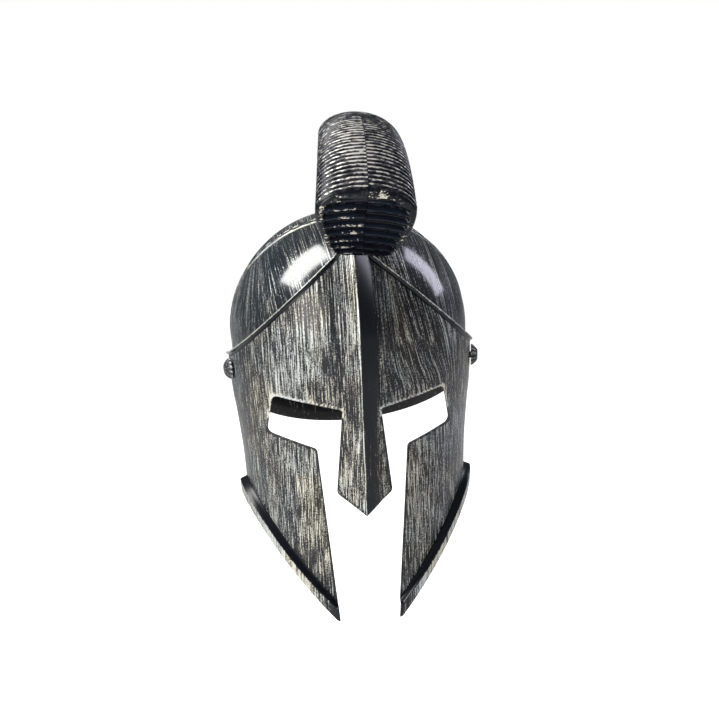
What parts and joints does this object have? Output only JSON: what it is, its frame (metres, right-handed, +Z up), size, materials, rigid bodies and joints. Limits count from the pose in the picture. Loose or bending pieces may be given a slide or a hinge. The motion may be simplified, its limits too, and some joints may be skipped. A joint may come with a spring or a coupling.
{
  "type": "roman helmet",
  "caption": "Costume helmet in moulded plastic with a domed bowl, a hinged face plate on temple rivets and a hollow ribbed crest.",
  "frame": {"origin": "inside of the bowl's crown, where the helmet sits on the head", "axes": "+Z up, -Y the way the face looks, +X the wearer's left"},
  "size_m": [0.1998, 0.2698, 0.3813],
  "materials": {
    "bowl_plastic": "blue-black plastic with rubbed silver streaks",
    "face_plastic": "blue-black plastic, thickly brushed with silver",
    "rivet_plastic": "blue-black plastic with silver on the flutes",
    "crest_plastic": "blue-black plastic with worn silver rib tops"
  },
  "bodies": {
    "shell": {"bowl": "bowl_plastic", "crest_shell_left": "crest_plastic", "crest_shell_right": "crest_plastic"},
    "face": {"face_plate": "face_plastic", "rivet_left": "rivet_plastic", "rivet_right": "rivet_plastic"}
  },
  "joints": [
    {"name": "face_plate_swing", "type": "hinge", "parent": "shell", "child": "face", "pos_m": [0, -0.018, -0.1166], "axis": [1, 0, 0], "range_deg": [0, 25]}
  ]
}
